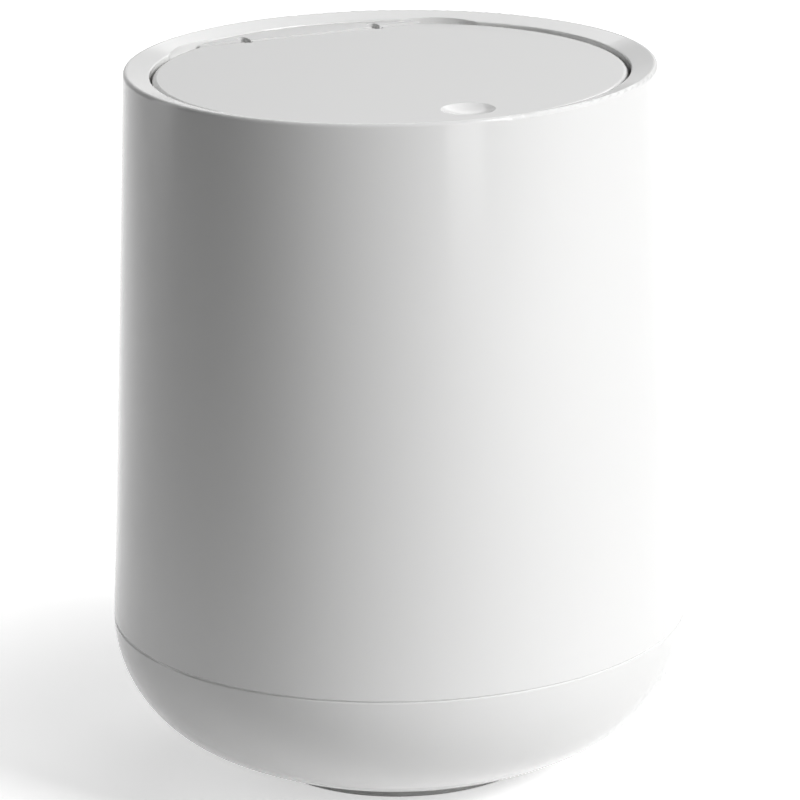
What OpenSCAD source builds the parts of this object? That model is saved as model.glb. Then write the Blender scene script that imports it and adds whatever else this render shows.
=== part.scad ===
// Countertop bin with a press-to-open lid: a tapered cover lifts off a bowl-shaped base,
// and the base carries a lift-out bucket with a swinging bail.
// Origin: centre of the foot on the table. +Z is up. The lid's hinge is towards +Y.
// All sizes are in millimetres.

/* [Outside shape] */
// Height from the table to the top of the lip
body_h = 232; // [215:1:260]
// Outside diameter at the lip
lip_d = 170; // [164:1:180]
// Outside diameter at the parting line, the widest place
waist_d = 187.8; // [184:0.2:196]
// Radius of the bowl's side curve
bowl_side_r = 42.5; // [36:0.5:48]
// Radius of the bowl's shallow bottom curve
bowl_floor_r = 150; // [130:1:180]
// Width of the fine V groove at the parting line
seam_groove = 0.5; // [0.3:0.1:0.8]
// Radius of the rounded lip
lip_round = 1.2; // [0.9:0.1:1.5]

/* [Walls] */
// Wall of the cover
cover_wall = 2.2; // [1.8:0.1:2.8]
// Wall of the base bowl
bowl_wall = 2.4; // [2:0.1:3]
// Wall of the inner bucket
bucket_wall = 1.6; // [1.2:0.1:2.2]
// Height of the base spigot inside the cover
spigot_h = 8; // [5:0.5:12]
// Gap between the spigot and the cover
spigot_gap = 0.4; // [0.3:0.05:0.8]

/* [Foot] */
// Outside diameter of the rubber foot ring
foot_d = 92; // [80:1:104]
// Width of the rubber foot ring
foot_w = 6; // [4:0.5:8]
// Height at which the bowl's underside stands over the table beside the ring
foot_gap = 2.2; // [1.6:0.1:3]
// Depth of the groove that holds the ring
foot_seat = 1.6; // [1:0.1:2]

/* [Lid] */
// Diameter of the lid disc
lid_d = 151.4; // [146:0.2:151.8]
// Gap round the lid
lid_gap = 0.9; // [0.8:0.1:1.4]
// Depth of the lid's top below the lip
lid_drop = 2.6; // [2.2:0.1:4]
// Height of the ring's inner edge over the lid's top
ring_step = 0.75; // [0.3:0.05:1]
// Thickness of the lid plate
lid_plate = 2.4; // [2:0.1:2.6]
// Depth of the stiffening skirt round the lid
lid_skirt_h = 5; // [4:0.5:5.5]
// Thickness of the skirt
lid_skirt_t = 2; // [1.6:0.1:2.6]
// Radius of the lid's upper edge
lid_edge_r = 1.5; // [0.8:0.1:1.8]
// Diameter of the finger dimple
dimple_d = 17; // [14:0.5:20]
// Depth of the finger dimple
dimple_depth = 2; // [1:0.1:2.6]
// Distance of the dimple from the lid's centre
dimple_y = 59.7; // [54:0.1:62]

/* [Lid hinge] */
// Distance of the hinge axis behind the lid's centre
hinge_y = 63; // [60:0.1:64]
// Radius of the rounded rear edge of the lid, about the hinge axis
nose_r = 1.25; // [1.2:0.05:1.4]
// Diameter of the hinge pin
pin_d = 1.2; // [1:0.1:1.2]
// Radial clearance of the pin in the lid
pin_fit = 0.05; // [0.02:0.01:0.09]
// Distance of each relief notch from the middle
notch_x = 23.3; // [21:0.1:24]
// Width of a relief notch
notch_w = 3.2; // [3:0.1:4]
// Thickness of a hinge ear
ear_t = 1.4; // [1:0.1:1.6]
// Gap between the lid's rear edge and the fixed land at the middle
land_gap = 0.35; // [0.3:0.05:0.6]
// Gap between the lid's rear edge and the land beyond the notches
land_side_gap = 1.3; // [0.8:0.1:1.6]
// Height of the land over the lid's top
land_rise = 0.15; // [0:0.05:0.3]
// Radius of the lid's two rear corners
lid_corner_r = 20; // [16:1:24]

/* [Latch] */
// Distance of the latch from the lid's centre
latch_y = 66.5; // [64:0.1:68]
// Travel of the plunger when the lid is pressed
press_travel = 1.8; // [1:0.1:1.9]
// Diameter of the magnet
magnet_d = 7; // [6:0.5:7.4]
// Diameter of the plunger's shaft
shaft_d = 5; // [4:0.1:5.4]
// Depth of the latch housing below its shelf
latch_h = 16; // [14:0.5:20]

/* [Bucket] */
// Headroom between the bail and the latch housing over it
bail_headroom = 3.3; // [3:0.1:30]
// Outside radius of the bucket's wall at the top
bucket_top_r = 79.5; // [76:0.5:80]
// Outside radius of the bucket's wall at the floor
bucket_floor_r = 61; // [54:0.5:64]
// Radius of the bucket's bottom corner
bucket_corner_r = 8; // [5:0.5:12]
// Diameter of the bail wire
bail_d = 3; // [2.5:0.1:3.4]
// Diameter of the bail's grip
grip_d = 8; // [7:0.5:9]

/* [Hidden] */

round_fn = 96;
wire_fn = 24;
bit = 0.01;

// Outside form
lip_r = lip_d / 2;
waist_r = waist_d / 2;
foot_r = foot_d / 2;
bowl_floor_z = foot_gap + foot_seat + 1.8;
floor_centre_z = foot_gap + sqrt(bowl_floor_r ^ 2 - foot_r ^ 2);
side_centre_r = waist_r - bowl_side_r;
blend_angle = asin(side_centre_r / (bowl_floor_r - bowl_side_r));
seam_z = floor_centre_z - (bowl_floor_r - bowl_side_r) * cos(blend_angle);
blend_r = bowl_floor_r * sin(blend_angle);
taper = (waist_r - lip_r) / (body_h - lip_round - seam_z);
function cover_r(z) = waist_r - taper * (z - seam_z);
spigot_r = cover_r(seam_z + spigot_h) - cover_wall - spigot_gap;
spigot_t = 2;

// Lid, its opening and the flange below it
lid_z = body_h - lid_drop;
lid_r = lid_d / 2;
open_r = lid_r + lid_gap;
neck_t = 2.2;
ring_edge_r = 0.5;
ring_in_z = lid_z + ring_step;
funnel_t = 2;
shelf_t = 2.4;
shelf_z = lid_z - 11.7;
flange_w = 6;

// Hinge
hinge_z = lid_z - nose_r;
pin_r = pin_d / 2;
land_front = hinge_y + nose_r + land_gap;
land_side_front = hinge_y + nose_r + land_side_gap;
land_fit = 0.1;
land_r = open_r - land_fit;
land_z = lid_z + land_rise;
land_t = 2;
land_wall = 1.5;
notch_back = hinge_y + 7.2;
notch_depth = 5.6;
ear_r = 1.2;
ear_open = 0.35;
pin_overhang = 0.5;
rear_shelf_y = 60.5;
hinge_screw_places = [[-28, 68.2], [-9, 72.4], [9, 72.4], [28, 68.2]];
hinge_screw_bite = 6;

// Rear corners of the lid, and the reliefs in the ring that they swing through
corner_y = hinge_y + nose_r - lid_corner_r;
corner_x = sqrt((lid_r - lid_corner_r) ^ 2 - corner_y ^ 2);
corner_end_y = corner_y * lid_r / (lid_r - lid_corner_r);
relief_r = 30;
relief_depth = 1.9;
relief_angle = 36;

// Lid springs, wound round an arbor inside the land
lid_wire_d = 0.6;
lid_coil_r = 1.6;
lid_coil_turns = 4.25;
lid_coil_pitch = 0.85;
lid_coil_x = 14.6;
lid_coil_y = 70.1;
spring_arm = 9.4;
arm_gap = 0.06;
arm_z = hinge_z - nose_r - 0.1 - lid_wire_d / 2;
lid_coil_z = arm_z - lid_coil_r;
arbor_r = 0.9;
arbor_rib_t = 1.1;
arbor_rib_gap = 0.4;
arm_slot_w = 1.4;
arm_slot_h = 1.7;

// Screws
screw_r = 1;
screw_clear_r = 1.3;
screw_head_r = 2.3;
screw_head_t = 1.6;
screw_boss_r = 2.6;

// Latch
strike_r = 5;
strike_t = 1;
strike_boss_r = 6.2;
strike_z = lid_z - 6.4;
magnet_t = 2;
magnet_gap = 0.2;
head_r = 4.5;
head_t = 3;
head_z = strike_z - magnet_gap;
shaft_r = shaft_d / 2;
shaft_fit = 0.08;
latch_r = 6;
latch_top = shelf_z - shelf_t;
latch_roof = 2;
latch_floor = latch_top - latch_h;
collar_r = 3.2;
collar_t = 1.5;
collar_gap = 0.2;
collar_z = latch_top - latch_roof - collar_gap - collar_t;
chamber_r = 3.5;
tail_r = 1.3;
tail_l = 6;
cap_t = 1.6;
latch_screw_x = 9.5;
latch_screw_bite = 1.6;
latch_wing_t = 2.4;
shelf_half_w = 13.5;
shelf_front_y = latch_y - 8;
plunger_wire_d = 0.5;
plunger_coil_r = 2.3;
plunger_turns = 7;

// Rubber buffers on the flange
buffer_r = 2.2;
buffer_h = 4.1;
buffer_stem_r = 1;
buffer_places = [-140, -40];
buffer_ring_r = lid_r - lid_skirt_t / 2 - 0.5;

// Bucket
bucket_top = latch_floor - cap_t - bail_headroom - grip_d - 0.4;
bucket_z = 13;
bucket_rim_out = 3.2;
bucket_rim_r = 1.6;
pivot_z = bucket_top + grip_d / 2 + 0.4;
bail_r = 77;
bail_fit = 0.08;
grip_fit = 0.1;
bail_wire_r = bail_d / 2;
ear_in = bail_r + bail_wire_r + 0.9;
bucket_ear_t = 2.4;
bucket_ear_r = 5;
rib_count = 6;
rib_t = 2;
rib_in_r = 30;
rib_out_r = 63;

// Ribs under the lid
lid_rib_t = 1.6;
lid_rib_x = [-46, -5, 5, 46];
lid_rib_front = 44;
lid_rib_back = hinge_y - 4;
lid_cross_rib = 58;

white = [0.93, 0.93, 0.92];
soft_white = [0.86, 0.86, 0.85];
steel = [0.72, 0.73, 0.75];
rubber_white = [0.72, 0.72, 0.71];
bucket_grey = [0.62, 0.64, 0.66];

// ---------- helpers ----------

// A tube of 6 sides along a list of points
function unit(v) = v / norm(v);
function tangent(p, i) =
    unit(p[min(i + 1, len(p) - 1)] - p[max(i - 1, 0)]);
module sweep(path, r, up) {
    sides = 6;
    count = len(path);
    points = [
        for (i = [0 : count - 1])
            let (t = tangent(path, i), side = unit(cross(up, t)), lift = cross(t, side))
                for (k = [0 : sides - 1])
                    path[i] + r * (cos(360 * k / sides) * side + sin(360 * k / sides) * lift)
    ];
    skin = [
        for (i = [0 : count - 2])
            for (k = [0 : sides - 1])
                let (a = i * sides + k, b = i * sides + (k + 1) % sides)
                    each [[a, b, b + sides], [a, b + sides, a + sides]]
    ];
    first_cap = [for (k = [1 : sides - 2]) [0, k + 1, k]];
    last = (count - 1) * sides;
    last_cap = [for (k = [1 : sides - 2]) [last, last + k, last + k + 1]];
    polyhedron(points, concat(first_cap, skin, last_cap));
}

// A relief notch at each end of the hinge, cut from above
module notches(back, front, depth) {
    for (side = [-1, 1])
        translate([side * notch_x, 0, lid_z - depth]) {
            translate([0, back - notch_w / 2, 0])
                cylinder(d = notch_w, h = depth + 2, $fn = round_fn);
            translate([-notch_w / 2, front, 0])
                cube([notch_w, back - notch_w / 2 - front, depth + 2]);
        }
}

// ---------- base ----------

// Half section of the bowl's outer form, drawn inwards by one wall, over a flat floor
module bowl_section(inset, floor_z) {
    intersection() {
        translate([0, floor_centre_z])
            circle(r = bowl_floor_r - inset, $fn = round_fn);
        union() {
            square([blend_r, seam_z]);
            translate([side_centre_r, seam_z])
                circle(r = bowl_side_r - inset, $fn = round_fn);
        }
        translate([0, floor_z])
            square([waist_r, seam_z - floor_z]);
    }
}

module base_bowl() {
    color(white)
    difference() {
        union() {
            rotate_extrude($fn = round_fn)
                difference() {
                    union() {
                        bowl_section(0, foot_gap);
                        translate([spigot_r - spigot_t, seam_z - 4])
                            square([spigot_t, spigot_h + 4]);
                    }
                    difference() {
                        bowl_section(bowl_wall, bowl_floor_z);
                        translate([spigot_r - spigot_t, seam_z - 4])
                            square([waist_r, 4]);
                    }
                    polygon([
                        [waist_r - seam_groove, seam_z + bit],
                        [waist_r + bit, seam_z + bit],
                        [waist_r + bit, seam_z - seam_groove]
                    ]);
                }
            // Ribs that hold the bucket level
            intersection() {
                for (i = [0 : rib_count - 1])
                    rotate([0, 0, i * 360 / rib_count])
                        translate([rib_in_r, -rib_t / 2, bowl_floor_z - 1])
                            cube([rib_out_r - rib_in_r, rib_t, bucket_z - bowl_floor_z + 1]);
                rotate_extrude($fn = round_fn)
                    bowl_section(bowl_wall / 2, foot_gap + foot_seat);
            }
        }
        // Groove for the foot ring
        rotate_extrude($fn = round_fn)
            translate([foot_r - foot_w, 0])
                square([foot_w, foot_gap + foot_seat]);
    }
}

module foot_ring() {
    color(rubber_white)
    rotate_extrude($fn = round_fn)
        difference() {
            translate([foot_r - foot_w, 0])
                square([foot_w, foot_gap + foot_seat]);
            for (x = [foot_r - foot_w, foot_r])
                translate([x, 0])
                    circle(r = 0.6, $fn = 4);
        }
}

// ---------- bucket ----------

// Half section of the bucket, drawn inwards by one wall
module bucket_section(inset) {
    corner_r = bucket_corner_r - inset;
    lean = (bucket_top_r - bucket_floor_r) / (bucket_top - bucket_z);
    corner_x = bucket_floor_r - bucket_corner_r;
    corner_z = bucket_z + bucket_corner_r;
    corner_wall_r = bucket_floor_r + lean * bucket_corner_r - inset;
    union() {
        translate([0, bucket_z + inset])
            square([corner_x, bucket_top - bucket_z - inset]);
        intersection() {
            translate([corner_x, corner_z])
                circle(r = corner_r, $fn = round_fn);
            translate([0, bucket_z])
                square([bucket_top_r, bucket_corner_r]);
        }
        polygon([
            [corner_x - bit, corner_z],
            [corner_x + corner_r, corner_z],
            [corner_wall_r, corner_z + 1],
            [bucket_top_r - inset, bucket_top],
            [corner_x - bit, bucket_top]
        ]);
    }
}

module inner_bucket() {
    color(bucket_grey)
    difference() {
        union() {
            rotate_extrude($fn = round_fn)
                union() {
                    difference() {
                        bucket_section(0);
                        bucket_section(bucket_wall);
                    }
                    translate([bucket_top_r - bucket_wall, bucket_top - bucket_wall])
                        square([bucket_rim_out, bucket_wall]);
                    translate([
                        bucket_top_r - bucket_wall + bucket_rim_out - bucket_rim_r,
                        bucket_top - bucket_rim_r
                    ])
                        intersection() {
                            circle(r = bucket_rim_r, $fn = round_fn);
                            translate([0, -bucket_rim_r])
                                square([bucket_rim_r, 2 * bucket_rim_r]);
                        }
                }
            for (side = [-1, 1])
                bail_ear(side);
        }
        for (side = [-1, 1])
            translate([side * (ear_in + bucket_ear_t / 2), 0, pivot_z])
                rotate([0, 90, 0])
                    cylinder(r = bail_wire_r + bail_fit, h = 3 * bucket_ear_t, center = true, $fn = round_fn);
    }
}

// Ear on the bucket's rim that carries one end of the bail
module bail_ear(side) {
    translate([side * (ear_in + bucket_ear_t / 2), 0, 0]) {
        translate([0, 0, pivot_z])
            rotate([0, 90, 0])
                cylinder(r = bucket_ear_r, h = bucket_ear_t, center = true, $fn = round_fn);
        translate([-bucket_ear_t / 2, -bucket_ear_r, bucket_top - bucket_wall / 2])
            cube([bucket_ear_t, 2 * bucket_ear_r, pivot_z - bucket_top + bucket_wall / 2]);
    }
}

module bail_wire() {
    color(steel)
    translate([0, 0, pivot_z]) {
        rotate_extrude(angle = 180, $fn = round_fn)
            translate([bail_r, 0])
                circle(r = bail_wire_r, $fn = wire_fn);
        // Bends, a hair fatter than the wire, and the ends that turn in the ears
        for (side = [-1, 1])
            translate([side * bail_r, 0, 0]) {
                sphere(r = bail_wire_r + 2 * bit, $fn = wire_fn);
                rotate([0, side * 90, 0])
                    cylinder(r = bail_wire_r - bit, h = ear_in + bucket_ear_t + 0.6 - bail_r, $fn = wire_fn);
            }
    }
}

module bail_grip() {
    color(soft_white)
    translate([0, 0, pivot_z])
        rotate([0, 0, 66])
            rotate_extrude(angle = 48, $fn = round_fn)
                translate([bail_r, 0])
                    difference() {
                        circle(d = grip_d, $fn = round_fn);
                        circle(r = bail_wire_r + grip_fit, $fn = round_fn);
                    }
}

// ---------- cover ----------

// Half section of the cover: wall, rounded lip, sloping ring, neck and flange
module cover_section() {
    run = lip_r - lip_round - open_r - ring_edge_r;
    rise = body_h - lip_round - ring_in_z + ring_edge_r;
    slope = atan2(rise, run) + asin((lip_round - ring_edge_r) / norm([run, rise]));
    under_z = ring_in_z - ring_edge_r - funnel_t;
    union() {
        polygon([
            [waist_r - seam_groove, seam_z],
            [waist_r, seam_z + seam_groove],
            [lip_r, body_h - lip_round],
            [
                lip_r - lip_round - lip_round * sin(slope),
                body_h - lip_round + lip_round * cos(slope)
            ],
            [
                open_r + ring_edge_r - ring_edge_r * sin(slope),
                ring_in_z - ring_edge_r + ring_edge_r * cos(slope)
            ],
            [open_r, ring_in_z - ring_edge_r],
            [open_r, shelf_z - shelf_t],
            [open_r + neck_t, shelf_z - shelf_t],
            [open_r + neck_t, under_z],
            [lip_r - cover_wall, body_h - lip_round - funnel_t],
            [cover_r(body_h - 12) - cover_wall, body_h - 12],
            [waist_r - cover_wall, seam_z]
        ]);
        translate([lip_r - lip_round, body_h - lip_round])
            circle(r = lip_round, $fn = round_fn);
        translate([open_r + ring_edge_r, ring_in_z - ring_edge_r])
            circle(r = ring_edge_r, $fn = round_fn);
        translate([open_r - flange_w, shelf_z - shelf_t])
            square([flange_w + neck_t, shelf_t]);
    }
}

module cover_shell() {
    color(white)
    difference() {
        union() {
            rotate_extrude($fn = round_fn)
                cover_section();
            // Shelf under the hinge frame
            intersection() {
                translate([0, 0, shelf_z - shelf_t])
                    cylinder(r = open_r + neck_t / 2, h = shelf_t, $fn = round_fn);
                translate([-lid_r, rear_shelf_y, shelf_z - shelf_t])
                    cube([lid_d, lid_d, shelf_t]);
            }
            // Shelf over the latch
            intersection() {
                translate([0, 0, shelf_z - shelf_t])
                    cylinder(r = open_r + neck_t / 2, h = shelf_t, $fn = round_fn);
                translate([-shelf_half_w, -lid_d, shelf_z - shelf_t])
                    cube([2 * shelf_half_w, lid_d - shelf_front_y, shelf_t]);
            }
            for (side = [-1, 1])
                translate([side * latch_screw_x, -latch_y, shelf_z - bit])
                    cylinder(r = screw_boss_r, h = 3, $fn = round_fn);
        }
        // Reliefs that the lid's rear corners swing through
        for (side = [-1, 1])
            rotate([0, 0, side * relief_angle])
                translate([0, open_r + relief_depth - relief_r, hinge_z - 0.4])
                    cylinder(r = relief_r, h = lid_drop + 3, $fn = round_fn);
        for (place = hinge_screw_places)
            translate([place[0], place[1], shelf_z - shelf_t - 1])
                cylinder(r = screw_clear_r, h = shelf_t + 2, $fn = round_fn);
        translate([0, -latch_y, shelf_z - shelf_t - 1])
            cylinder(r = shaft_r + 0.7, h = shelf_t + 2, $fn = round_fn);
        for (side = [-1, 1])
            translate([side * latch_screw_x, -latch_y, shelf_z - shelf_t - 1])
                cylinder(r = screw_r, h = shelf_t + 3, $fn = round_fn);
        for (angle = buffer_places)
            rotate([0, 0, angle])
                translate([buffer_ring_r, 0, shelf_z - shelf_t - 1])
                    cylinder(r = buffer_stem_r, h = shelf_t + 2, $fn = round_fn);
    }
}

// Outline of the fixed land behind the lid
module land_outline(inset) {
    intersection() {
        circle(r = land_r - inset, $fn = round_fn);
        union() {
            translate([-lid_r, land_side_front + inset])
                square([lid_d, lid_d]);
            translate([-notch_x, land_front + inset])
                square([2 * notch_x, lid_d]);
        }
    }
}

module hinge_frame() {
    coil_w = lid_coil_turns * lid_coil_pitch + lid_wire_d;
    near_x = lid_coil_x - lid_wire_d / 2 - arbor_rib_gap - arbor_rib_t;
    far_x = near_x + arbor_rib_t + coil_w + 2 * arbor_rib_gap;
    color(white)
    difference() {
        union() {
            difference() {
                translate([0, 0, shelf_z])
                    linear_extrude(land_z - shelf_z)
                        land_outline(0);
                translate([0, 0, shelf_z - bit])
                    linear_extrude(land_z - shelf_z - land_t)
                        land_outline(land_wall);
                notches(notch_back, hinge_y, notch_depth);
            }
            // Ribs under the notches
            for (side = [-1, 1])
                translate([side * notch_x - notch_w / 2 - land_wall / 2, land_front, shelf_z])
                    cube([notch_w + land_wall, notch_back - land_front + land_wall / 2,
                        lid_z - notch_depth - shelf_z]);
            for (place = hinge_screw_places)
                translate([place[0], place[1], shelf_z])
                    cylinder(r = screw_boss_r, h = land_z - shelf_z - land_t / 2, $fn = round_fn);
            for (side = [-1, 1])
                hinge_ear(side);
            // Arbors for the lid springs, each between two ribs
            for (side = [0, 1])
                mirror([side, 0, 0]) {
                    for (x = [near_x, far_x])
                        translate([x, land_front + 1, shelf_z])
                            cube([
                                arbor_rib_t,
                                lid_coil_y + lid_coil_r - land_front,
                                lid_coil_z + 1.4 * arbor_r - shelf_z
                            ]);
                    translate([near_x, lid_coil_y, lid_coil_z])
                        rotate([0, 90, 0])
                            cylinder(r = arbor_r, h = far_x - near_x + arbor_rib_t, $fn = round_fn);
                }
        }
        for (place = hinge_screw_places)
            translate([place[0], place[1], shelf_z - 1])
                cylinder(r = screw_r, h = hinge_screw_bite + 2, $fn = round_fn);
        translate([0, hinge_y, hinge_z])
            rotate([0, 90, 0])
                cylinder(r = pin_r, h = 4 * notch_x, center = true, $fn = round_fn);
        // Slots for the spring arms
        for (side = [-1, 1])
            translate([side * lid_coil_x - arm_slot_w / 2, land_front - 1, arm_z - arm_slot_h / 2])
                cube([arm_slot_w, land_wall + 2, arm_slot_h]);
    }
}

// Open-topped cradle for one end of the pin
module hinge_ear(side) {
    translate([side * notch_x, 0, 0])
        intersection() {
            union() {
                translate([-ear_t / 2, hinge_y - ear_r, shelf_z])
                    cube([ear_t, land_front + 1 - hinge_y + ear_r, hinge_z - shelf_z]);
                translate([0, hinge_y, hinge_z])
                    rotate([0, 90, 0])
                        cylinder(r = ear_r, h = ear_t, center = true, $fn = round_fn);
            }
            translate([-ear_t, hinge_y - 2 * ear_r, shelf_z])
                cube([2 * ear_t, 4 * ear_r + notch_w, hinge_z + ear_open - shelf_z]);
        }
}

module hinge_pin() {
    half = notch_x + ear_t / 2 + pin_overhang;
    color(steel)
    translate([-half, hinge_y, hinge_z])
        rotate([0, 90, 0])
            cylinder(r = pin_r, h = 2 * half, $fn = round_fn);
}

// Torsion spring on its arbor: the arm lifts the lid, the tail stands on the shelf
module lid_spring() {
    steps = 12;
    total = lid_coil_turns * steps;
    coil = [
        for (i = [0 : total])
            let (a = 90 - 360 * i / steps)
                [
                    lid_coil_x + lid_coil_pitch * i / steps,
                    lid_coil_y + lid_coil_r * cos(a),
                    lid_coil_z + lid_coil_r * sin(a)
                ]
    ];
    arm = [
        [lid_coil_x, hinge_y - spring_arm, lid_z - lid_plate - lid_wire_d / 2 - arm_gap],
        [lid_coil_x, hinge_y - nose_r - 1, arm_z]
    ];
    tail = [[
        lid_coil_x + lid_coil_turns * lid_coil_pitch,
        lid_coil_y + lid_coil_r,
        shelf_z + arm_gap
    ]];
    sweep(concat(arm, coil, tail), lid_wire_d / 2, [1, 0, 0]);
}

module lid_spring_right() {
    color(steel)
    lid_spring();
}

module lid_spring_left() {
    color(steel)
    mirror([1, 0, 0])
        lid_spring();
}

// A small screw, head down, driven upwards
module screw(shank) {
    translate([0, 0, -screw_head_t])
        cylinder(r = screw_head_r, h = screw_head_t, $fn = round_fn);
    translate([0, 0, -bit])
        cylinder(r = screw_r - 0.03, h = shank, $fn = round_fn);
}

module hinge_screws() {
    color(steel)
    for (place = hinge_screw_places)
        translate([place[0], place[1], shelf_z - shelf_t])
            screw(shelf_t + hinge_screw_bite);
}

module lid_buffers() {
    color(rubber_white)
    for (angle = buffer_places)
        rotate([0, 0, angle])
            translate([buffer_ring_r, 0, shelf_z]) {
                cylinder(r = buffer_r, h = buffer_h, $fn = round_fn);
                translate([0, 0, -shelf_t - 1])
                    cylinder(r = buffer_stem_r - 0.03, h = shelf_t + 2, $fn = round_fn);
                translate([0, 0, -shelf_t - 1.2])
                    cylinder(r = buffer_stem_r + 0.5, h = 1.2, $fn = round_fn);
            }
}

// ---------- latch ----------

module latch_housing() {
    color(soft_white)
    translate([0, -latch_y, 0])
        difference() {
            union() {
                translate([0, 0, latch_floor])
                    cylinder(r = latch_r, h = latch_h, $fn = round_fn);
                intersection() {
                    translate([-shelf_half_w + 0.5, -screw_head_r - 1.2, latch_top - latch_wing_t])
                        cube([2 * shelf_half_w - 1, 2 * screw_head_r + 2.4, latch_wing_t]);
                    translate([0, 0, latch_top - latch_wing_t])
                        cylinder(r = shelf_half_w - 0.4, h = latch_wing_t, $fn = round_fn);
                }
            }
            translate([0, 0, latch_floor - 1])
                cylinder(r = chamber_r, h = latch_h - latch_roof + 1, $fn = round_fn);
            translate([0, 0, latch_top - latch_roof - 1])
                cylinder(r = shaft_r + shaft_fit, h = latch_roof + 2, $fn = round_fn);
            for (side = [-1, 1])
                translate([side * latch_screw_x, 0, latch_top - latch_wing_t - 1])
                    cylinder(r = screw_clear_r, h = latch_wing_t + 2, $fn = round_fn);
        }
}

module latch_cap() {
    color(soft_white)
    translate([0, -latch_y, latch_floor - cap_t]) {
        cylinder(r = latch_r, h = cap_t, $fn = round_fn);
        translate([0, 0, cap_t - bit])
            difference() {
                cylinder(r = chamber_r - 0.05, h = 1, $fn = round_fn);
                cylinder(r = chamber_r - 0.6, h = 2, $fn = round_fn);
            }
    }
}

module latch_screws() {
    color(steel)
    for (side = [-1, 1])
        translate([side * latch_screw_x, -latch_y, latch_top - latch_wing_t])
            screw(latch_wing_t + shelf_t + latch_screw_bite);
}

module plunger_spring() {
    steps = 10;
    total = plunger_turns * steps;
    low = latch_floor + plunger_wire_d / 2;
    high = collar_z - plunger_wire_d / 2 - 0.02;
    color(steel)
    translate([0, -latch_y, 0])
        sweep([
            for (i = [0 : total])
                let (a = 360 * i / steps)
                    [plunger_coil_r * cos(a), plunger_coil_r * sin(a), low + (high - low) * i / total]
        ], plunger_wire_d / 2, [0, 0, 1]);
}

module latch_plunger() {
    color(soft_white)
    translate([0, -latch_y, 0])
        difference() {
            union() {
                translate([0, 0, head_z - head_t])
                    cylinder(r = head_r, h = head_t, $fn = round_fn);
                translate([0, 0, collar_z])
                    cylinder(r = shaft_r, h = head_z - head_t - collar_z + bit, $fn = round_fn);
                translate([0, 0, collar_z])
                    cylinder(r = collar_r, h = collar_t, $fn = round_fn);
                translate([0, 0, collar_z - tail_l])
                    cylinder(r = tail_r, h = tail_l + bit, $fn = round_fn);
            }
            translate([0, 0, head_z - magnet_t])
                cylinder(d = magnet_d, h = magnet_t + 1, $fn = round_fn);
        }
}

module latch_magnet() {
    color(steel)
    translate([0, -latch_y, head_z - magnet_t])
        cylinder(d = magnet_d - 0.06, h = magnet_t, $fn = round_fn);
}

// ---------- lid ----------

// Disc with a rounded upper edge and a skirt
module lid_disc() {
    rotate_extrude($fn = round_fn)
        difference() {
            union() {
                translate([0, lid_z - lid_skirt_h])
                    square([lid_r, lid_skirt_h - lid_edge_r]);
                translate([0, lid_z - lid_edge_r - bit])
                    square([lid_r - lid_edge_r, lid_edge_r + bit]);
                translate([lid_r - lid_edge_r, lid_z - lid_edge_r])
                    circle(r = lid_edge_r, $fn = round_fn);
            }
            translate([-1, lid_z - lid_skirt_h - 1])
                square([lid_r - lid_skirt_t + 1, lid_skirt_h - lid_plate + 1]);
        }
}

// Outline of the lid with its two rear corners rounded off
module lid_outline() {
    union() {
        translate([-lid_d, -lid_d])
            square([2 * lid_d, lid_d + corner_end_y]);
        translate([-corner_x, -lid_r])
            square([2 * corner_x, 2 * lid_r]);
        for (side = [-1, 1])
            translate([side * corner_x, corner_y])
                circle(r = lid_corner_r, $fn = round_fn);
    }
}

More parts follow.
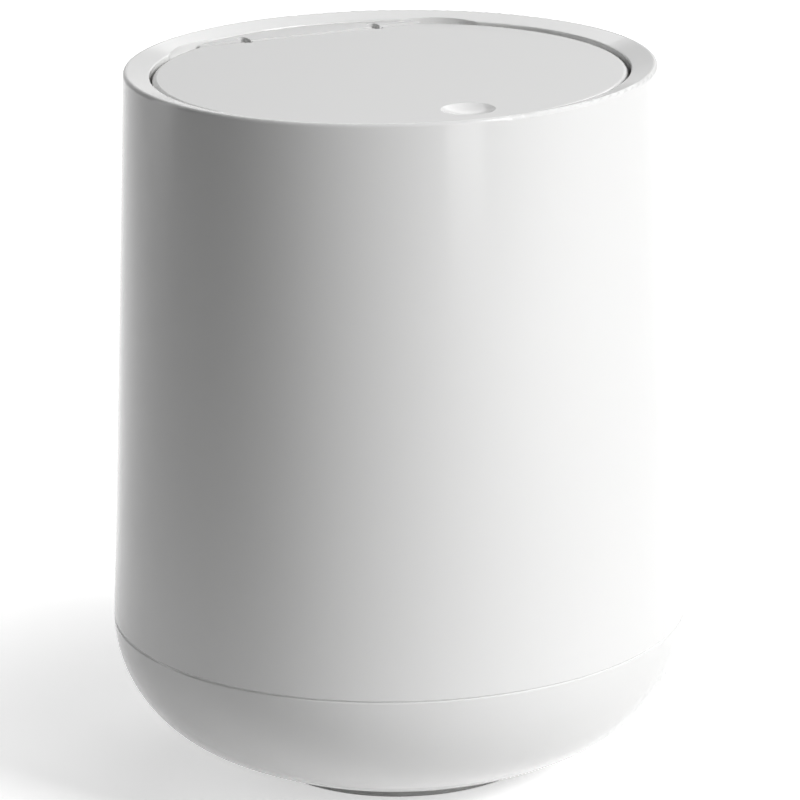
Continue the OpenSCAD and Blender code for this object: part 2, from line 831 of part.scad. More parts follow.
module lid_flap() {
    dimple_ball_r = (dimple_d ^ 2 / 4 + dimple_depth ^ 2) / (2 * dimple_depth);
    rib_z = lid_z - lid_skirt_h + 0.6;
    color(white)
    difference() {
        union() {
            intersection() {
                union() {
                    intersection() {
                        lid_disc();
                        translate([-lid_r - 1, -lid_r - 1, lid_z - lid_skirt_h - 1])
                            cube([lid_d + 2, lid_r + 1 + hinge_y, lid_skirt_h + 2]);
                    }
                    // Rounded rear edge about the hinge axis
                    intersection() {
                        translate([0, hinge_y, hinge_z])
                            rotate([0, 90, 0])
                                cylinder(r = nose_r, h = lid_r, center = true, $fn = round_fn);
                        cylinder(r = lid_r - 0.6, h = 2 * lid_z, $fn = round_fn);
                    }
                }
                translate([0, 0, lid_z - lid_skirt_h - 1])
                    linear_extrude(lid_skirt_h + 2)
                        lid_outline();
            }
            // Stiffening ribs
            for (x = lid_rib_x)
                translate([x - lid_rib_t / 2, -lid_rib_front, rib_z])
                    cube([lid_rib_t, lid_rib_back + lid_rib_front, lid_skirt_h - lid_plate]);
            translate([-lid_cross_rib, -lid_rib_front - lid_rib_t / 2, rib_z])
                cube([2 * lid_cross_rib, lid_rib_t, lid_skirt_h - lid_plate]);
            // Back of the dimple
            intersection() {
                translate([0, -dimple_y, lid_z - dimple_depth + dimple_ball_r])
                    sphere(r = dimple_ball_r + lid_plate - 0.4, $fn = round_fn);
                translate([0, -dimple_y, lid_z - lid_skirt_h])
                    cylinder(r = dimple_d / 2 + 2, h = lid_skirt_h - 0.5, $fn = round_fn);
            }
            // Boss that carries the strike plate
            translate([0, -latch_y, strike_z])
                cylinder(r = strike_boss_r, h = lid_z - 1 - strike_z, $fn = round_fn);
        }
        translate([0, -dimple_y, lid_z - dimple_depth + dimple_ball_r])
            sphere(r = dimple_ball_r, $fn = round_fn);
        notches(notch_back, hinge_y, 8);
        // Front halves of the relief notches
        for (side = [-1, 1])
            translate([side * notch_x, hinge_y, lid_z - 8])
                cylinder(d = notch_w, h = 9, $fn = round_fn);
        translate([0, hinge_y, hinge_z])
            rotate([0, 90, 0])
                cylinder(r = pin_r + pin_fit, h = 2 * notch_x, center = true, $fn = round_fn);
        translate([0, -latch_y, strike_z - 1])
            cylinder(r = strike_r + 0.03, h = strike_t + 1, $fn = round_fn);
        translate([0, -latch_y, strike_z - 1])
            cylinder(r = screw_r, h = 4, $fn = round_fn);
    }
}

module strike_plate() {
    color(steel)
    translate([0, -latch_y, strike_z])
        difference() {
            cylinder(r = strike_r, h = strike_t, $fn = round_fn);
            translate([0, 0, -1])
                cylinder(r = screw_r, h = strike_t + 2, $fn = round_fn);
            translate([0, 0, -bit])
                cylinder(r1 = 2.1, r2 = screw_r, h = 0.8, $fn = round_fn);
        }
}

module strike_screw() {
    color(steel)
    translate([0, -latch_y, strike_z]) {
        cylinder(r1 = 2, r2 = screw_r - 0.04, h = 0.8, $fn = round_fn);
        cylinder(r = screw_r - 0.04, h = 2.8, $fn = round_fn);
    }
}

base_bowl();
foot_ring();
inner_bucket();
bail_wire();
bail_grip();
cover_shell();
hinge_frame();
hinge_pin();
lid_spring_left();
lid_spring_right();
hinge_screws();
lid_buffers();
latch_housing();
latch_cap();
latch_screws();
plunger_spring();
latch_plunger();
latch_magnet();
lid_flap();
strike_plate();
strike_screw();
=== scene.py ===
"""Countertop bin with a press-to-open lid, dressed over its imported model.

Lengths are in metres, and in millimetres where a docstring or a comment says so. +Z is up, +Y is
towards the lid's hinge and the foot stands at z = 0.
"""

import math

import bmesh
import bpy
from bpy.props import FloatProperty, FloatVectorProperty, PointerProperty
from mathutils import Matrix, Vector


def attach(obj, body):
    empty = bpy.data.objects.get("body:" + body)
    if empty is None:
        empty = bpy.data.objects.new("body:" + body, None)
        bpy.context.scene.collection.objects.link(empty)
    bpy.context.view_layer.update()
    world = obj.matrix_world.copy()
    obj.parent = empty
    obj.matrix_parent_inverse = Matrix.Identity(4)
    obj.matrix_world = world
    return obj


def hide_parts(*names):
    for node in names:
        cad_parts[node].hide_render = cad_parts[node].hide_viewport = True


bl_info = {
    "name": "Countertop bin",
    "version": (1, 0, 0),
    "blender": (4, 5, 0),
    "location": "3D View > Sidebar > Bin",
    "description": "Dresses the countertop bin's pieces and sets its stage",
    "category": "Object",
}

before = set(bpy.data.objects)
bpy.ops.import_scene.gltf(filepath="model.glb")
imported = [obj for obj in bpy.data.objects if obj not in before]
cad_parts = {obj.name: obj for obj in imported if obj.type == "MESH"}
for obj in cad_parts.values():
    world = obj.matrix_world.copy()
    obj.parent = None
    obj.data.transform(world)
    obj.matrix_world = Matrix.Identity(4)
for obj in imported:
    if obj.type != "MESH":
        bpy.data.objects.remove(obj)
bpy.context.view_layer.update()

# Screws and springs are drawn in millimetres, then scaled by this
MM = 0.001

# Sockets of a Mix node that mixes colours
MIX_FACTOR, MIX_A, MIX_B, MIX_RESULT = 0, 6, 7, 2

# Surface that all the materials share
CLOUD_SCALE, CLOUD_DETAIL, CLOUD_MIDDLE = 22, 4, 0.5
GRAIN_DETAIL, GRAIN_DEPTH = 2, 0.0002
HOLLOW_POINT, FLAT_POINT = 0.40, 0.50      # pointiness where the painted shade is full, and where it ends
# Colour by which hollows and inner corners are darkened, as painted shade
PAINTED_SHADE_TINT = (0.55, 0.53, 0.5, 1)

# Screws, in millimetres where a name ends in MM and otherwise in shares of a radius or a thickness
TURNED_STEPS = 24
CLOSE_MM = 0.001               # vertices nearer than this are one
HEAD_RIM = 0.62                # flat middle of a head, round its recess
PAN_SHOULDER = ((0.82, 0.06), (0.95, 0.28), (1.0, 0.6))     # radius and height
FLAT_EDGE_MM = 0.06
ROOT, TIP = 0.8, 0.35          # radius between the ridges, and at the end
RIDGE_PITCH_MM, FIRST_RIDGE_MM, TIP_MM = 0.7, 0.35, 0.5
RIDGE_FOOT_MM, RIDGE_TOP_MM = 0.15, 0.4
CROSS_LONG, CROSS_HALF, CROSS_TAPER, CROSS_DEPTH = 0.52, 0.14, 0.55, 0.55
FIRST_TURN, TURN_STEP = 12, 37      # degrees at which the screws came to rest

# Edges of new pieces are sharp from this angle
SHARP_ANGLE = math.radians(35)


# ---------------------------------------------------------------- settings

class BinFinish(bpy.types.PropertyGroup):
    """Colours and surface of the bin's materials"""
    shell_colour: FloatVectorProperty(
        name="Shell colour", description="White of the glossy outer mouldings",
        subtype="COLOR", size=3, min=0, max=1, default=(0.86, 0.86, 0.855))
    shell_roughness: FloatProperty(
        name="Shell roughness", description="Roughness of the glossy outer mouldings",
        min=0.02, max=1, default=0.13)
    satin_colour: FloatVectorProperty(
        name="Satin colour", description="Colour of the satin plastic of the latch and the grip",
        subtype="COLOR", size=3, min=0, max=1, default=(0.74, 0.74, 0.72))
    bucket_colour: FloatVectorProperty(
        name="Bucket colour", description="Colour of the inner bucket",
        subtype="COLOR", size=3, min=0, max=1, default=(0.34, 0.36, 0.38))
    rubber_colour: FloatVectorProperty(
        name="Rubber colour", description="Colour of the foot ring and the buffers",
        subtype="COLOR", size=3, min=0, max=1, default=(0.72, 0.72, 0.71))
    steel_colour: FloatVectorProperty(
        name="Steel colour", description="Colour of the wires, pin, screws, plate and magnet",
        subtype="COLOR", size=3, min=0, max=1, default=(0.62, 0.63, 0.65))


class StageSettings(bpy.types.PropertyGroup):
    """Floor, lights and camera"""
    floor_colour: FloatVectorProperty(
        name="Floor colour", description="Colour of the floor as it is seen, and near the bin",
        subtype="COLOR", size=3, min=0, max=1, default=(0.93, 0.93, 0.93))
    floor_far_colour: FloatVectorProperty(
        name="Far floor colour",
        description="Colour with which the far floor lights the bin",
        subtype="COLOR", size=3, min=0, max=1, default=(0.12, 0.12, 0.12))
    floor_near: FloatProperty(
        name="Pale floor",
        description="Distance up to which the floor throws back its full colour",
        unit="LENGTH", min=0, default=0.14)
    floor_far: FloatProperty(
        name="Dark floor",
        description="Distance from which the floor throws back its far colour",
        unit="LENGTH", min=0, default=0.45)
    glow_near: FloatProperty(
        name="Glow start", description="Distance from which the floor's backdrop light grows",
        unit="LENGTH", min=0, default=0.10)
    glow_far: FloatProperty(
        name="Glow end", description="Distance at which the floor's backdrop light is full",
        unit="LENGTH", min=0, default=0.30)
    glow_low: FloatProperty(
        name="Glow at the foot", description="Backdrop light of the floor at the foot",
        min=0, default=0.5)
    glow_high: FloatProperty(
        name="Glow far off", description="Backdrop light of the floor far off", min=0, default=1.0)
    key_power: FloatProperty(
        name="Key power", description="Power of the soft light high on the right",
        unit="POWER", min=0, default=13.5)
    front_power: FloatProperty(
        name="Front power", description="Power of the tall light in front on the right",
        unit="POWER", min=0, default=2.8)
    left_power: FloatProperty(
        name="Left power", description="Power of the tall light behind on the left",
        unit="POWER", min=0, default=1.7)
    back_power: FloatProperty(
        name="Back power", description="Power of the light high behind the bin",
        unit="POWER", min=0, default=7.0)
    room_light: FloatProperty(
        name="Room light", description="Strength of the even light from all round",
        min=0, default=0.03)
    camera_turn: FloatProperty(
        name="Camera turn", description="Angle of the camera round the bin from its front",
        subtype="ANGLE", unit="ROTATION", default=math.radians(-23.5))
    camera_distance: FloatProperty(
        name="Camera distance", description="Horizontal distance from the bin's axis",
        unit="LENGTH", min=0.1, default=1.3855)
    camera_height: FloatProperty(
        name="Camera height", description="Height over the table",
        unit="LENGTH", default=0.5364)
    camera_aside: FloatProperty(
        name="Camera aside", description="Distance of the camera to the right of the bin's axis",
        unit="LENGTH", default=0.0013)
    camera_pitch: FloatProperty(
        name="Camera pitch", description="Downward tilt of the camera",
        subtype="ANGLE", unit="ROTATION", default=math.radians(16.72))
    camera_roll: FloatProperty(
        name="Camera roll", description="Turn of the camera about its own axis",
        subtype="ANGLE", unit="ROTATION", default=math.radians(1.01))
    camera_lens: FloatProperty(
        name="Focal length", description="Focal length on a 36 mm wide sensor",
        min=10, default=200.2)


# ---------------------------------------------------------------- shader helpers

def new_material(name):
    """An empty node material with its Principled shader and output joined"""
    mat = bpy.data.materials.new(name)
    mat.use_nodes = True
    tree = mat.node_tree
    tree.nodes.clear()
    out = tree.nodes.new("ShaderNodeOutputMaterial")
    shader = tree.nodes.new("ShaderNodeBsdfPrincipled")
    tree.links.new(shader.outputs["BSDF"], out.inputs["Surface"])
    return mat, tree, shader


def moulded_group():
    """Unevenness of a moulded or drawn surface: its colour with painted shade in its hollows, its
    roughness and its normal
    """
    name = "Moulded surface"
    if name in bpy.data.node_groups:
        return bpy.data.node_groups[name]
    group = bpy.data.node_groups.new(name, "ShaderNodeTree")
    face = group.interface
    # The last input sets how strongly hollows are darkened, as painted shade
    for label, value in (("Roughness", 0.25), ("Roughness spread", 0.05), ("Grain size", 900.0),
                         ("Grain height", 0.02), ("Wear", 0.1)):
        socket = face.new_socket(name=label, in_out="INPUT", socket_type="NodeSocketFloat")
        socket.default_value = value
    colour_in = face.new_socket(name="Colour", in_out="INPUT", socket_type="NodeSocketColor")
    colour_in.default_value = (0.8, 0.8, 0.8, 1)
    face.new_socket(name="Colour", in_out="OUTPUT", socket_type="NodeSocketColor")
    face.new_socket(name="Roughness", in_out="OUTPUT", socket_type="NodeSocketFloat")
    face.new_socket(name="Normal", in_out="OUTPUT", socket_type="NodeSocketVector")
    nodes, links = group.nodes, group.links
    enter = nodes.new("NodeGroupInput")
    leave = nodes.new("NodeGroupOutput")
    place = nodes.new("ShaderNodeTexCoord")

    # Broad clouds: handling marks and slight flow in the plastic
    cloud = nodes.new("ShaderNodeTexNoise")
    cloud.inputs["Scale"].default_value = CLOUD_SCALE
    cloud.inputs["Detail"].default_value = CLOUD_DETAIL
    links.new(place.outputs["Object"], cloud.inputs["Vector"])
    spread = nodes.new("ShaderNodeMath")
    spread.operation = "MULTIPLY_ADD"
    centre = nodes.new("ShaderNodeMath")
    centre.operation = "SUBTRACT"
    centre.inputs[1].default_value = CLOUD_MIDDLE
    links.new(cloud.outputs["Fac"], centre.inputs[0])
    links.new(centre.outputs[0], spread.inputs[0])
    links.new(enter.outputs["Roughness spread"], spread.inputs[1])
    links.new(enter.outputs["Roughness"], spread.inputs[2])
    links.new(spread.outputs[0], leave.inputs["Roughness"])

    # Fine grain of the mould or the drawn wire
    grain = nodes.new("ShaderNodeTexNoise")
    grain.inputs["Detail"].default_value = GRAIN_DETAIL
    links.new(place.outputs["Object"], grain.inputs["Vector"])
    links.new(enter.outputs["Grain size"], grain.inputs["Scale"])
    bump = nodes.new("ShaderNodeBump")
    bump.inputs["Distance"].default_value = GRAIN_DEPTH
    links.new(enter.outputs["Grain height"], bump.inputs["Strength"])
    links.new(grain.outputs["Fac"], bump.inputs["Height"])
    links.new(bump.outputs["Normal"], leave.inputs["Normal"])

    # Hollows and inner corners: a little darker, as painted shade
    point = nodes.new("ShaderNodeNewGeometry")
    hollow = nodes.new("ShaderNodeMapRange")
    hollow.inputs["From Min"].default_value = HOLLOW_POINT
    hollow.inputs["From Max"].default_value = FLAT_POINT
    hollow.inputs["To Min"].default_value = 1.0
    hollow.inputs["To Max"].default_value = 0.0
    links.new(point.outputs["Pointiness"], hollow.inputs["Value"])
    shade_amount = nodes.new("ShaderNodeMath")
    shade_amount.operation = "MULTIPLY"
    links.new(hollow.outputs["Result"], shade_amount.inputs[0])
    links.new(enter.outputs["Wear"], shade_amount.inputs[1])
    mix = nodes.new("ShaderNodeMix")
    mix.data_type = "RGBA"
    mix.blend_type = "MULTIPLY"
    mix.inputs[MIX_B].default_value = PAINTED_SHADE_TINT
    links.new(shade_amount.outputs[0], mix.inputs[MIX_FACTOR])
    links.new(enter.outputs["Colour"], mix.inputs[MIX_A])
    links.new(mix.outputs[MIX_RESULT], leave.inputs["Colour"])
    return group


def moulded_surface(tree, shader, roughness, spread, grain, height, hollow_shade):
    """The moulded group in a material's tree, joined to its Principled shader"""
    surface = tree.nodes.new("ShaderNodeGroup")
    surface.node_tree = moulded_group()
    for label, value in (("Roughness", roughness), ("Roughness spread", spread),
                         ("Grain size", grain), ("Grain height", height), ("Wear", hollow_shade)):
        surface.inputs[label].default_value = value
    for label, socket in (("Colour", "Base Color"), ("Roughness", "Roughness"),
                          ("Normal", "Normal")):
        tree.links.new(surface.outputs[label], shader.inputs[socket])
    return surface


def moulded_material(name, colour, roughness, spread=0.04, grain=900.0, height=0.02, hollow_shade=0.1):
    """A plastic, rubber or metal on the moulded group, its hollows darkened by the last argument
    as painted shade
    """
    mat, tree, shader = new_material(name)
    surface = moulded_surface(tree, shader, roughness, spread, grain, height, hollow_shade)
    surface.inputs["Colour"].default_value = (*colour, 1)
    return mat, shader


def shell_material():
    """Glossy white plastic of the cover, bowl, lid and hinge frame"""
    finish = bpy.context.scene.bin_finish
    name = "Glossy white plastic"
    if name in bpy.data.materials:
        return bpy.data.materials[name]
    mat, shader = moulded_material(name, finish.shell_colour, finish.shell_roughness,
                                   spread=0.05, grain=260.0, height=0.006, hollow_shade=0.25)
    shader.inputs["IOR"].default_value = 1.5
    shader.inputs["Subsurface Weight"].default_value = 0.06
    shader.inputs["Subsurface Radius"].default_value = (0.004, 0.004, 0.0038)
    shader.inputs["Subsurface Scale"].default_value = 0.5
    return mat


def satin_material():
    """Satin plastic of the latch and the bail's grip"""
    finish = bpy.context.scene.bin_finish
    name = "Satin plastic"
    if name in bpy.data.materials:
        return bpy.data.materials[name]
    return moulded_material(name, finish.satin_colour, roughness=0.45, grain=2600.0,
                            height=0.06)[0]


def bucket_material():
    """Matt grey plastic of the bucket"""
    finish = bpy.context.scene.bin_finish
    name = "Grey bucket plastic"
    if name in bpy.data.materials:
        return bpy.data.materials[name]
    return moulded_material(name, finish.bucket_colour, roughness=0.42, spread=0.12,
                            grain=1800.0, height=0.08, hollow_shade=0.3)[0]


def rubber_material():
    """Off-white rubber of the foot ring and the buffers"""
    finish = bpy.context.scene.bin_finish
    name = "Off-white rubber"
    if name in bpy.data.materials:
        return bpy.data.materials[name]
    return moulded_material(name, finish.rubber_colour, roughness=0.7, spread=0.15,
                            grain=3200.0, height=0.25, hollow_shade=0.3)[0]


def steel_material():
    """Bright metal of the wires, the pin, the screws, the strike plate and the magnet"""
    finish = bpy.context.scene.bin_finish
    name = "Bright steel"
    if name in bpy.data.materials:
        return bpy.data.materials[name]
    mat, shader = moulded_material(name, finish.steel_colour, roughness=0.28, spread=0.18,
                                   grain=5200.0, height=0.12, hollow_shade=0.4)
    shader.inputs["Metallic"].default_value = 1.0
    return mat


def background_rays(tree):
    """1 for the rays that see the white background: camera rays, off gloss and through glass"""
    path = tree.nodes.new("ShaderNodeLightPath")
    total = path.outputs["Is Camera Ray"]
    for kind in ("Is Glossy Ray", "Is Transmission Ray"):
        add = tree.nodes.new("ShaderNodeMath")
        add.operation = "ADD"
        add.use_clamp = True
        tree.links.new(total, add.inputs[0])
        tree.links.new(path.outputs[kind], add.inputs[1])
        total = add.outputs[0]
    return total


def floor_material(stage):
    """Matt white table: pale to the camera, and darker far off for the light it throws back"""
    mat, tree, shader = new_material("Floor")
    nodes, links = tree.nodes, tree.links
    surface = moulded_surface(tree, shader, roughness=0.85, spread=0.05, grain=60, height=0.02,
                              hollow_shade=0)

    # Distance from the middle of the foot
    place = nodes.new("ShaderNodeTexCoord")
    reach = nodes.new("ShaderNodeVectorMath")
    reach.operation = "LENGTH"
    links.new(place.outputs["Object"], reach.inputs[0])
    seeing = background_rays(tree)

    def ramp(near, far, low, high):
        """A value that goes smoothly from low to high as the distance goes from near to far"""
        node = nodes.new("ShaderNodeMapRange")
        node.interpolation_type = "SMOOTHSTEP"
        node.inputs["From Min"].default_value = near
        node.inputs["From Max"].default_value = far
        node.inputs["To Min"].default_value = low
        node.inputs["To Max"].default_value = high
        links.new(reach.outputs["Value"], node.inputs["Value"])
        return node.outputs["Result"]

    # Colour for the light it throws on the bin, and the one colour in which it is seen
    thrown = nodes.new("ShaderNodeMix")
    thrown.data_type = "RGBA"
    links.new(ramp(stage.floor_near, stage.floor_far, 0, 1), thrown.inputs[MIX_FACTOR])
    thrown.inputs[MIX_A].default_value = (*stage.floor_colour, 1)
    thrown.inputs[MIX_B].default_value = (*stage.floor_far_colour, 1)
    seen = nodes.new("ShaderNodeMix")
    seen.data_type = "RGBA"
    links.new(seeing, seen.inputs[MIX_FACTOR])
    links.new(thrown.outputs[MIX_RESULT], seen.inputs[MIX_A])
    seen.inputs[MIX_B].default_value = (*stage.floor_colour, 1)
    links.new(seen.outputs[MIX_RESULT], surface.inputs["Colour"])

    # Backdrop light, weaker under the bin so that its shadow stays
    glow = nodes.new("ShaderNodeMath")
    glow.operation = "MULTIPLY"
    links.new(seeing, glow.inputs[0])
    links.new(ramp(stage.glow_near, stage.glow_far, stage.glow_low, stage.glow_high),
              glow.inputs[1])
    links.new(glow.outputs[0], shader.inputs["Emission Strength"])
    shader.inputs["Emission Color"].default_value = (1, 1, 1, 1)

    # Clear from below, so that the bin's underside can be looked at
    clear = nodes.new("ShaderNodeBsdfTransparent")
    point = nodes.new("ShaderNodeNewGeometry")
    side = nodes.new("ShaderNodeMixShader")
    out = next(node for node in nodes if node.type == "OUTPUT_MATERIAL")
    links.new(point.outputs["Backfacing"], side.inputs["Fac"])
    links.new(shader.outputs["BSDF"], side.inputs[1])
    links.new(clear.outputs["BSDF"], side.inputs[2])
    links.new(side.outputs["Shader"], out.inputs["Surface"])
    return mat


def dress(node, material):
    """Gives a CAD node its material"""
    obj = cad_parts[node]
    if not obj.material_slots:
        obj.data.materials.append(None)
    for entry in obj.material_slots:
        entry.link = "OBJECT"
        entry.material = material


# ---------------------------------------------------------------- bmesh helpers

def finish_form(form, name, material, body, replaced):
    """Turns a bmesh into a shaded object that rides on a body and stands for CAD nodes"""
    bmesh.ops.recalc_face_normals(form, faces=form.faces)
    mesh = bpy.data.meshes.new(name)
    form.to_mesh(mesh)
    form.free()
    mesh.materials.append(material)
    mesh.shade_smooth()
    mesh.set_sharp_from_angle(angle=SHARP_ANGLE)
    obj = bpy.data.objects.new(name, mesh)
    bpy.context.collection.objects.link(obj)
    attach(obj, body)
    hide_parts(*replaced)
    return obj


def verts_of(geometry):
    """The vertices in what a bmesh operator gives back"""
    return [item for item in geometry if isinstance(item, bmesh.types.BMVert)]


def edges_of(geometry):
    """The edges in what a bmesh operator gives back"""
    return [item for item in geometry if isinstance(item, bmesh.types.BMEdge)]


def chain(form, points):
    """New vertices in order and the edges that join them"""
    verts = [form.verts.new(point) for point in points]
    return verts, [form.edges.new(pair) for pair in zip(verts, verts[1:])]


def screw_form(head, head_r, head_t, shank_r, shank_l):
    """One screw in millimetres, its head's face at z = 0 and its shank upwards"""
    form = bmesh.new()
    section = [(HEAD_RIM * head_r, 0)]
    if head == "pan":
        section += [(radius * head_r, z * head_t) for radius, z in PAN_SHOULDER]
        section.append((head_r, head_t))
    else:
        section += [(head_r - FLAT_EDGE_MM, 0), (head_r, FLAT_EDGE_MM)]
    section.append((shank_r, head_t))
    root_r = ROOT * shank_r
    height = head_t + FIRST_RIDGE_MM
    top = head_t + shank_l
    while height + RIDGE_PITCH_MM < top - TIP_MM:
        section += [(root_r, height), (root_r, height + RIDGE_FOOT_MM),
                    (shank_r, height + RIDGE_TOP_MM)]
        height += RIDGE_PITCH_MM
    section += [(root_r, height), (root_r, top - TIP_MM), (TIP * shank_r, top), (0, top)]
    verts, edges = chain(form, [(radius, 0, z) for radius, z in section])
    bmesh.ops.spin(form, geom=verts + edges, axis=(0, 0, 1), cent=(0, 0, 0), angle=math.tau,
                   steps=TURNED_STEPS, use_merge=True, use_duplicate=False)
    bmesh.ops.remove_doubles(form, verts=form.verts, dist=CLOSE_MM)

    # Cross recess: an outline in the head's face, joined to the rim and drawn in
    rim_edges = [edge for edge in form.edges if edge.is_boundary
                 and all(abs(vert.co.z) < CLOSE_MM for vert in edge.verts)]
    long, half = CROSS_LONG * head_r, CROSS_HALF * head_r
    cross, cross_edges = chain(form, [
        (long, -half, 0), (long, half, 0), (half, half, 0), (half, long, 0),
        (-half, long, 0), (-half, half, 0), (-long, half, 0), (-long, -half, 0),
        (-half, -half, 0), (-half, -long, 0), (half, -long, 0), (half, -half, 0)])
    cross_edges.append(form.edges.new((cross[-1], cross[0])))
    bmesh.ops.bridge_loops(form, edges=rim_edges + cross_edges)
    deep = bmesh.ops.extrude_edge_only(form, edges=cross_edges)["geom"]
    bmesh.ops.scale(form, vec=(CROSS_TAPER, CROSS_TAPER, 1), verts=verts_of(deep))
    bmesh.ops.translate(form, vec=(0, 0, CROSS_DEPTH * head_t), verts=verts_of(deep))
    bmesh.ops.contextual_create(form, geom=edges_of(deep))
    return form


def screws(name, places, body, node, head, head_r, head_t, shank_r, shank_l):
    """Like screws at several places, each given by the middle of its head's face in millimetres"""
    one = bpy.data.meshes.new(name)
    form = screw_form(head, head_r, head_t, shank_r, shank_l)
    form.to_mesh(one)
    form.free()
    whole = bmesh.new()
    for number, place in enumerate(places):
        before = len(whole.verts)
        whole.from_mesh(one)
        whole.verts.ensure_lookup_table()
        added = whole.verts[before:]
        turn = Matrix.Rotation(math.radians(TURN_STEP * number + FIRST_TURN), 3, "Z")
        bmesh.ops.rotate(whole, verts=added, cent=(0, 0, 0), matrix=turn)
        bmesh.ops.translate(whole, verts=added, vec=place)
    bpy.data.meshes.remove(one)
    bmesh.ops.scale(whole, vec=(MM, MM, MM), verts=whole.verts)
    return finish_form(whole, name, steel_material(), body, [node])


def lid_spring(side, name, node):
    """A torsion spring of round wire: arm under the lid, coil on its arbor, tail on the shelf

    Lengths are in millimetres, and side is 1 for the spring on the right and -1 on the left.
    """
    wire_r, wire_sides = 0.3, 14
    arm_y, arm_z, arm_rise, bend_y = 53.6, 226.5, 0.14, 60.75
    coil_x, coil_y, coil_r, coil_turns, coil_pitch, turn_steps = 14.6, 70.1, 1.6, 4.25, 0.85, 32
    coil_z = arm_z - coil_r
    foot_z = 217.76
    form = bmesh.new()
    facing = Matrix.Rotation(math.radians(-90), 4, "X")
    start = Matrix.Translation((coil_x, arm_y, arm_z + arm_rise)) @ facing
    bmesh.ops.create_circle(form, cap_ends=True, segments=wire_sides, radius=wire_r, matrix=start)
    loop = list(form.edges)

    def go(loop, vector):
        """Draws the wire's open end on, and gives its new end"""
        grown = bmesh.ops.extrude_edge_only(form, edges=loop)["geom"]
        bmesh.ops.translate(form, vec=vector, verts=verts_of(grown))
        moved = set(verts_of(grown))
        return [edge for edge in edges_of(grown) if set(edge.verts) <= moved]

    loop = go(loop, (0, bend_y - arm_y, -arm_rise))
    loop = go(loop, (0, coil_y - bend_y, 0))
    verts = list(dict.fromkeys(vert for edge in loop for vert in edge.verts))
    wound = bmesh.ops.spin(form, geom=verts + loop, axis=(1, 0, 0),
                           cent=(coil_x, coil_y, coil_z), dvec=(coil_pitch / turn_steps, 0, 0),
                           angle=-math.tau * coil_turns, steps=round(coil_turns * turn_steps),
                           use_merge=False, use_duplicate=False)
    loop = edges_of(wound["geom_last"])
    loop = go(loop, (0, 0, foot_z - coil_z))
    bmesh.ops.contextual_create(form, geom=loop)
    bmesh.ops.scale(form, vec=(side * MM, MM, MM), verts=form.verts)
    return finish_form(form, name, steel_material(), "cover", [node])


# ---------------------------------------------------------------- operators

class BIN_OT_shell(bpy.types.Operator):
    """Finish the cover, bowl, lid and hinge frame"""
    bl_idname = "bin.shell"
    bl_label = "Outer mouldings"

    def execute(self, context):
        for node in ("cover_shell", "base_bowl", "lid_flap", "hinge_frame"):
            dress(node, shell_material())
        return {"FINISHED"}


class BIN_OT_inside(bpy.types.Operator):
    """Finish the bucket, the bail, the rubber pieces, and the latch's and hinge's small parts"""
    bl_idname = "bin.inside"
    bl_label = "Inner pieces"

    def execute(self, context):
        dress("inner_bucket", bucket_material())
        for node in ("bail_grip", "latch_housing", "latch_cap", "latch_plunger"):
            dress(node, satin_material())
        for node in ("foot_ring", "lid_buffers"):
            dress(node, rubber_material())
        for node in ("bail_wire", "hinge_pin", "plunger_spring", "latch_magnet", "strike_plate"):
            dress(node, steel_material())
        return {"FINISHED"}


class BIN_OT_screws(bpy.types.Operator):
    """Make the screws of the hinge frame, the latch and the strike plate"""
    bl_idname = "bin.screws"
    bl_label = "Screws"

    def execute(self, context):
        # Places and sizes in millimetres
        screws("Hinge_screws",
               [(-28, 68.2, 213.7), (-9, 72.4, 213.7), (9, 72.4, 213.7), (28, 68.2, 213.7)],
               "cover", "hinge_screws",
               head="pan", head_r=2.29, head_t=1.6, shank_r=0.97, shank_l=8.3)
        screws("Latch_screws", [(-9.5, -66.5, 211.3), (9.5, -66.5, 211.3)],
               "cover", "latch_screws",
               head="pan", head_r=2.29, head_t=1.6, shank_r=0.97, shank_l=6.3)
        screws("Strike_screw", [(0, -66.5, 223.0)],
               "lid", "strike_screw",
               head="flat", head_r=1.99, head_t=0.8, shank_r=0.95, shank_l=1.95)
        return {"FINISHED"}


class BIN_OT_springs(bpy.types.Operator):
    """Wind the two torsion springs that lift the lid"""
    bl_idname = "bin.springs"
    bl_label = "Lid springs"

    def execute(self, context):
        lid_spring(1, "Right_lid_spring", "lid_spring_right")
        lid_spring(-1, "Left_lid_spring", "lid_spring_left")
        return {"FINISHED"}


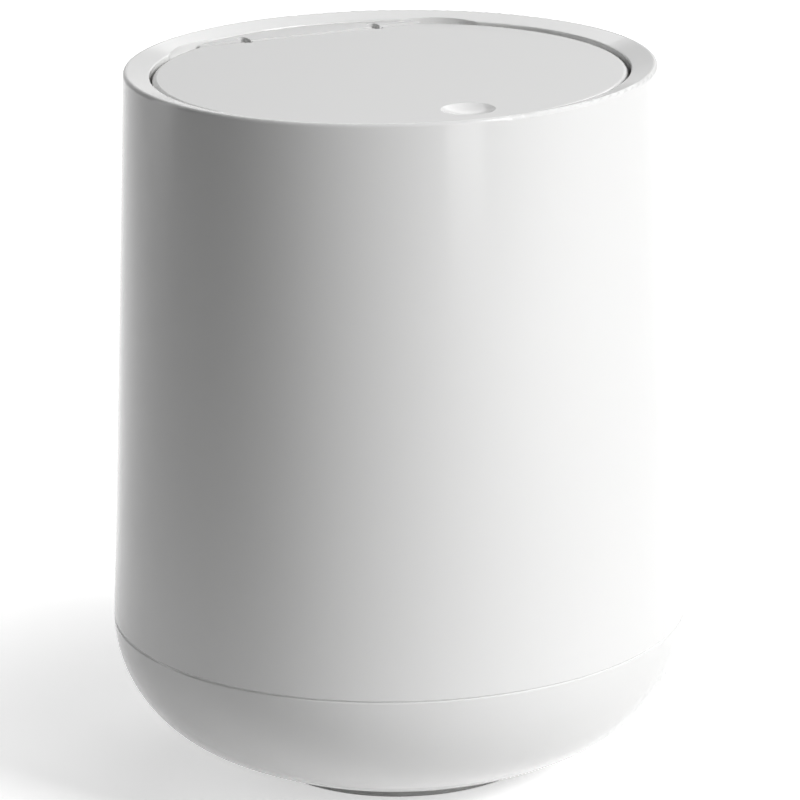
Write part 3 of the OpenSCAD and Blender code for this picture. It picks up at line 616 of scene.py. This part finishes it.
class BIN_OT_stage(bpy.types.Operator):
    """Make the floor, the lights and the camera"""
    bl_idname = "bin.stage"
    bl_label = "Stage"

    # Name, power setting, degrees round from the camera to its right, distance from the bin's
    # axis, height, and width and height of the light
    lights = (("Key light", "key_power", 57, 1.1, 0.85, (0.5, 0.5)),
              ("Front light", "front_power", 30, 1.4, 0.45, (0.4, 1.0)),
              ("Left light", "left_power", -110, 1.4, 0.45, (0.4, 1.0)),
              ("Back light", "back_power", 168, 1.2, 1.4, (1.3, 1.3)))
    aim_height = 0.13
    floor_half, floor_cells = 4.0, 8
    sensor_width, clip_start, clip_end = 36, 0.05, 50

    def execute(self, context):
        stage = context.scene.bin_stage
        self.make_floor(stage)
        self.make_world(context.scene, stage)
        turn = Matrix.Rotation(stage.camera_turn, 3, "Z")
        middle = Vector((0, 0, self.aim_height))
        for name, power, angle, reach, height, size in self.lights:
            bearing = math.radians(angle)
            place = turn @ Vector((reach * math.sin(bearing), -reach * math.cos(bearing), height))
            self.make_light(name, getattr(stage, power), place, middle, size)
        self.make_camera(context.scene, stage, turn)
        return {"FINISHED"}

    def make_floor(self, stage):
        """A wide table with its middle under the bin"""
        form = bmesh.new()
        bmesh.ops.create_grid(form, x_segments=self.floor_cells, y_segments=self.floor_cells,
                              size=self.floor_half)
        mesh = bpy.data.meshes.new("Floor")
        form.to_mesh(mesh)
        form.free()
        floor = bpy.data.objects.new("Floor", mesh)
        bpy.context.collection.objects.link(floor)
        mesh.materials.append(floor_material(stage))

    def make_world(self, scene, stage):
        """White where the backdrop is seen, and a faint even light for everything else"""
        world = bpy.data.worlds.new("Room")
        scene.world = world
        world.use_nodes = True
        tree = world.node_tree
        tree.nodes.clear()
        out = tree.nodes.new("ShaderNodeOutputWorld")
        seen = tree.nodes.new("ShaderNodeBackground")
        seen.inputs["Color"].default_value = (1, 1, 1, 1)
        seen.inputs["Strength"].default_value = 1.0
        lit = tree.nodes.new("ShaderNodeBackground")
        lit.inputs["Color"].default_value = (1, 1, 1, 1)
        lit.inputs["Strength"].default_value = stage.room_light
        mix = tree.nodes.new("ShaderNodeMixShader")
        tree.links.new(background_rays(tree), mix.inputs["Fac"])
        tree.links.new(lit.outputs["Background"], mix.inputs[1])
        tree.links.new(seen.outputs["Background"], mix.inputs[2])
        tree.links.new(mix.outputs["Shader"], out.inputs["Surface"])

    def make_light(self, name, power, place, aim, size):
        """A soft light at a place, turned to what it lights"""
        light = bpy.data.lights.new(name, "AREA")
        light.shape = "RECTANGLE"
        light.size, light.size_y = size
        light.energy = power
        obj = bpy.data.objects.new(name, light)
        bpy.context.collection.objects.link(obj)
        obj.location = place
        obj.rotation_euler = (aim - place).to_track_quat("-Z", "Y").to_euler()

    def make_camera(self, scene, stage, turn):
        """The camera, from its place, its tilt and its small roll"""
        lens = bpy.data.cameras.new("Camera")
        lens.sensor_width = self.sensor_width
        lens.lens = stage.camera_lens
        lens.clip_start = self.clip_start
        lens.clip_end = self.clip_end
        camera = bpy.data.objects.new("Camera", lens)
        bpy.context.collection.objects.link(camera)
        level_right = turn @ Vector((1, 0, 0))
        ahead = turn @ Vector((0, math.cos(stage.camera_pitch), -math.sin(stage.camera_pitch)))
        level_up = level_right.cross(ahead)
        roll_cos = math.cos(stage.camera_roll)
        roll_sin = math.sin(stage.camera_roll)
        right = roll_cos * level_right - roll_sin * level_up
        up = roll_sin * level_right + roll_cos * level_up
        axes = Matrix((right, up, -ahead)).transposed()
        place = turn @ Vector((stage.camera_aside, -stage.camera_distance, stage.camera_height))
        camera.matrix_world = Matrix.Translation(place) @ axes.to_4x4()
        scene.camera = camera


class BIN_PT_panel(bpy.types.Panel):
    """Lists the bin's pieces and settings"""
    bl_idname = "BIN_PT_panel"
    bl_label = "Bin"
    bl_space_type = "VIEW_3D"
    bl_region_type = "UI"
    bl_category = "Bin"

    def draw(self, context):
        layout = self.layout
        for settings in (context.scene.bin_finish, context.scene.bin_stage):
            box = layout.box()
            for key in settings.bl_rna.properties.keys():
                if key not in {"rna_type", "name"}:
                    box.prop(settings, key)
        for operator in OPERATORS:
            layout.operator(operator.bl_idname)


OPERATORS = (BIN_OT_shell, BIN_OT_inside, BIN_OT_screws, BIN_OT_springs, BIN_OT_stage)
CLASSES = (BinFinish, StageSettings, *OPERATORS, BIN_PT_panel)


def register():
    """Makes the classes and their settings known"""
    for cls in CLASSES:
        bpy.utils.register_class(cls)
    bpy.types.Scene.bin_finish = PointerProperty(type=BinFinish)
    bpy.types.Scene.bin_stage = PointerProperty(type=StageSettings)


def unregister():
    """Takes the settings and the classes away again"""
    del bpy.types.Scene.bin_stage
    del bpy.types.Scene.bin_finish
    for cls in reversed(CLASSES):
        bpy.utils.unregister_class(cls)


def main():
    register()
    bpy.context.scene.view_settings.view_transform = "Standard"
    bpy.ops.bin.shell()
    bpy.ops.bin.inside()
    bpy.ops.bin.screws()
    bpy.ops.bin.springs()
    bpy.ops.bin.stage()


if __name__ == "__main__":
    main()
